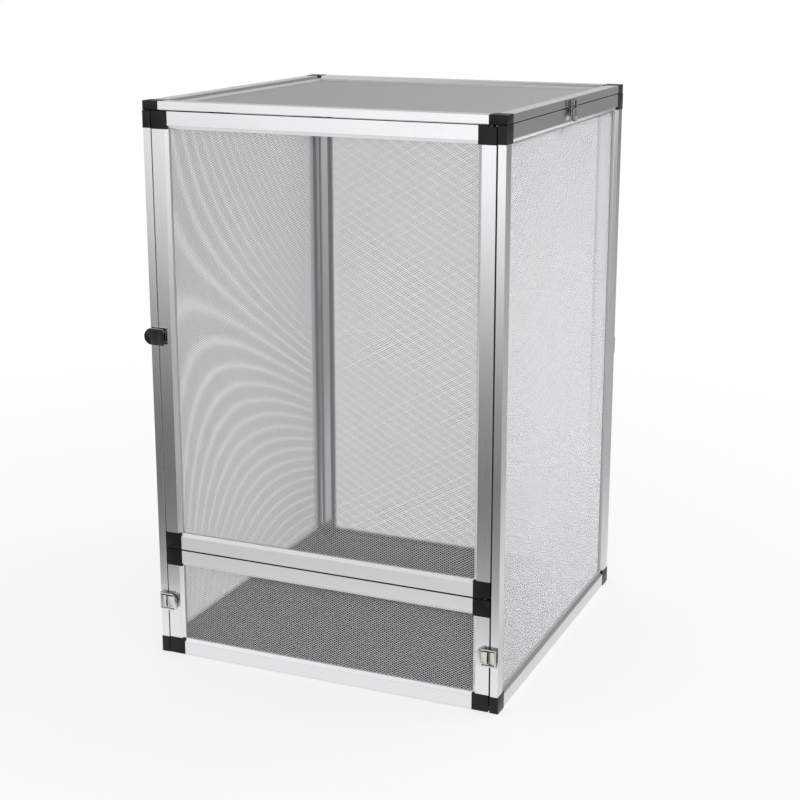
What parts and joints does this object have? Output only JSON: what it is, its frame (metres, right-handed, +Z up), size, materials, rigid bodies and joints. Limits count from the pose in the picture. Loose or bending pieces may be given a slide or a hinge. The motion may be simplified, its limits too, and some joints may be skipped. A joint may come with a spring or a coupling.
{
  "type": "mesh reptile cage",
  "caption": "Upright reptile cage of framed mesh panels with a swing door, a drop-down lower door, a lift-off lid, toggle latches and a dark floor board.",
  "frame": {"origin": "on the ground, in the middle of the cage's footprint", "axes": "+X along the front to the right as seen from the front, +Y to the back, +Z up"},
  "size_m": [0.441, 0.441, 0.66],
  "materials": {
    "frame": "satin anodised, extruded",
    "mesh": "bare expanded sheet, satin",
    "corner_plastic": "moulded, satin black",
    "spline": "soft black cord, matt",
    "bright_latch": "bright plated",
    "black_latch": "black lacquer",
    "steel": "plain bright steel",
    "floor_board": "dark grey, matt"
  },
  "bodies": {
    "walls": {"left_top_rail": "frame", "left_bottom_rail": "frame", "left_front_stile": "frame", "left_back_stile": "frame", "left_mesh": "mesh", "right_top_rail": "frame", "right_bottom_rail": "frame", "right_front_stile": "frame", "right_back_stile": "frame", "right_mesh": "mesh", "back_top_rail": "frame", "back_bottom_rail": "frame", "back_left_stile": "frame", "back_right_stile": "frame", "back_mesh": "mesh", "wall_corners": "corner_plastic", "wall_splines": "spline", "floor_board": "floor_board", "pivot_brackets": "black_latch", "lower_door_pins": "steel", "door_hasp_keeper": "black_latch", "wall_latch_bases": "bright_latch", "wall_latch_keepers": "bright_latch"},
    "upper_door": {"upper_door_top_rail": "frame", "upper_door_bottom_rail": "frame", "upper_door_left_stile": "frame", "upper_door_right_stile": "frame", "upper_door_corners": "corner_plastic", "upper_door_mesh": "mesh", "upper_door_spline": "spline", "door_hasp_base": "black_latch"},
    "lower_door": {"lower_door_top_rail": "frame", "lower_door_bottom_rail": "frame", "lower_door_left_stile": "frame", "lower_door_right_stile": "frame", "lower_door_corners": "corner_plastic", "lower_door_mesh": "mesh", "lower_door_spline": "spline", "lower_door_latch_bases": "bright_latch"},
    "lid": {"lid_front_rail": "frame", "lid_back_rail": "frame", "lid_left_rail": "frame", "lid_right_rail": "frame", "lid_corners": "corner_plastic", "lid_mesh": "mesh", "lid_spline": "spline", "lid_latch_keepers": "bright_latch"},
    "door_hasp": {"door_hasp_lever": "black_latch"},
    "lower_left_lever": {"lower_left_latch_lever": "bright_latch"},
    "lower_left_bail": {"lower_left_latch_bail": "bright_latch"},
    "lower_right_lever": {"lower_right_latch_lever": "bright_latch"},
    "lower_right_bail": {"lower_right_latch_bail": "bright_latch"},
    "lid_left_lever": {"lid_left_latch_lever": "bright_latch"},
    "lid_left_bail": {"lid_left_latch_bail": "bright_latch"},
    "lid_right_lever": {"lid_right_latch_lever": "bright_latch"},
    "lid_right_bail": {"lid_right_latch_bail": "bright_latch"},
    "back_left_lever": {"back_left_latch_lever": "bright_latch"},
    "back_left_bail": {"back_left_latch_bail": "bright_latch"},
    "back_right_lever": {"back_right_latch_lever": "bright_latch"},
    "back_right_bail": {"back_right_latch_bail": "bright_latch"}
  },
  "joints": [
    {"name": "upper_door_swing", "type": "hinge", "parent": "walls", "child": "upper_door", "pos_m": [0.1978, -0.2125, 0.39175], "axis": [0, 0, 1], "range_deg": [0, 120]},
    {"name": "lower_door_drop", "type": "hinge", "parent": "walls", "child": "lower_door", "pos_m": [0, -0.212, 0.006], "axis": [1, 0, 0], "range_deg": [0, 80]},
    {"name": "lid_lift", "type": "slide", "parent": "walls", "child": "lid", "axis": [0, 0, 1], "range_m": [0, 0.12]},
    {"name": "door_hasp_turn", "type": "hinge", "parent": "upper_door", "child": "door_hasp", "pos_m": [-0.19648, -0.21678, 0.39175], "axis": [0, 0, 1], "range_deg": [0, 95]},
    {"name": "lower_left_lever_turn", "type": "hinge", "parent": "lower_door", "child": "lower_left_lever", "pos_m": [-0.2018, -0.21678, 0.06725], "axis": [0, 0, -1], "range_deg": [0, 95]},
    {"name": "lower_left_bail_turn", "type": "hinge", "parent": "lower_left_lever", "child": "lower_left_bail", "pos_m": [-0.1974, -0.21753, 0.06725], "axis": [0, 0, -1], "range_deg": [-95, 0]},
    {"name": "lower_right_lever_turn", "type": "hinge", "parent": "lower_door", "child": "lower_right_lever", "pos_m": [0.2018, -0.21678, 0.06725], "axis": [0, 0, 1], "range_deg": [0, 95]},
    {"name": "lower_right_bail_turn", "type": "hinge", "parent": "lower_right_lever", "child": "lower_right_bail", "pos_m": [0.1974, -0.21753, 0.06725], "axis": [0, 0, 1], "range_deg": [-95, 0]},
    {"name": "lid_left_lever_turn", "type": "hinge", "parent": "walls", "child": "lid_left_lever", "pos_m": [-0.21678, 0, 0.64725], "axis": [0, 1, 0], "range_deg": [0, 95]},
    {"name": "lid_left_bail_turn", "type": "hinge", "parent": "lid_left_lever", "child": "lid_left_bail", "pos_m": [-0.21753, 0, 0.64285], "axis": [0, 1, 0], "range_deg": [-95, 0]},
    {"name": "lid_right_lever_turn", "type": "hinge", "parent": "walls", "child": "lid_right_lever", "pos_m": [0.21678, 0, 0.64725], "axis": [0, -1, 0], "range_deg": [0, 95]},
    {"name": "lid_right_bail_turn", "type": "hinge", "parent": "lid_right_lever", "child": "lid_right_bail", "pos_m": [0.21753, 0, 0.64285], "axis": [0, -1, 0], "range_deg": [-95, 0]},
    {"name": "back_left_lever_turn", "type": "hinge", "parent": "walls", "child": "back_left_lever", "pos_m": [-0.20225, 0.21678, 0.32485], "axis": [0, 0, 1], "range_deg": [0, 95]},
    {"name": "back_left_bail_turn", "type": "hinge", "parent": "back_left_lever", "child": "back_left_bail", "pos_m": [-0.19785, 0.21753, 0.32485], "axis": [0, 0, 1], "range_deg": [-95, 0]},
    {"name": "back_right_lever_turn", "type": "hinge", "parent": "walls", "child": "back_right_lever", "pos_m": [0.20225, 0.21678, 0.32485], "axis": [0, 0, -1], "range_deg": [0, 95]},
    {"name": "back_right_bail_turn", "type": "hinge", "parent": "back_right_lever", "child": "back_right_bail", "pos_m": [0.19785, 0.21753, 0.32485], "axis": [0, 0, -1], "range_deg": [-95, 0]}
  ],
  "couplings": [
    {"joint": "lower_left_bail_turn", "follows": "lower_left_lever_turn", "ratio": -1},
    {"joint": "lower_right_bail_turn", "follows": "lower_right_lever_turn", "ratio": -1},
    {"joint": "lid_left_bail_turn", "follows": "lid_left_lever_turn", "ratio": -1},
    {"joint": "lid_right_bail_turn", "follows": "lid_right_lever_turn", "ratio": -1},
    {"joint": "back_left_bail_turn", "follows": "back_left_lever_turn", "ratio": -1},
    {"joint": "back_right_bail_turn", "follows": "back_right_lever_turn", "ratio": -1}
  ]
}
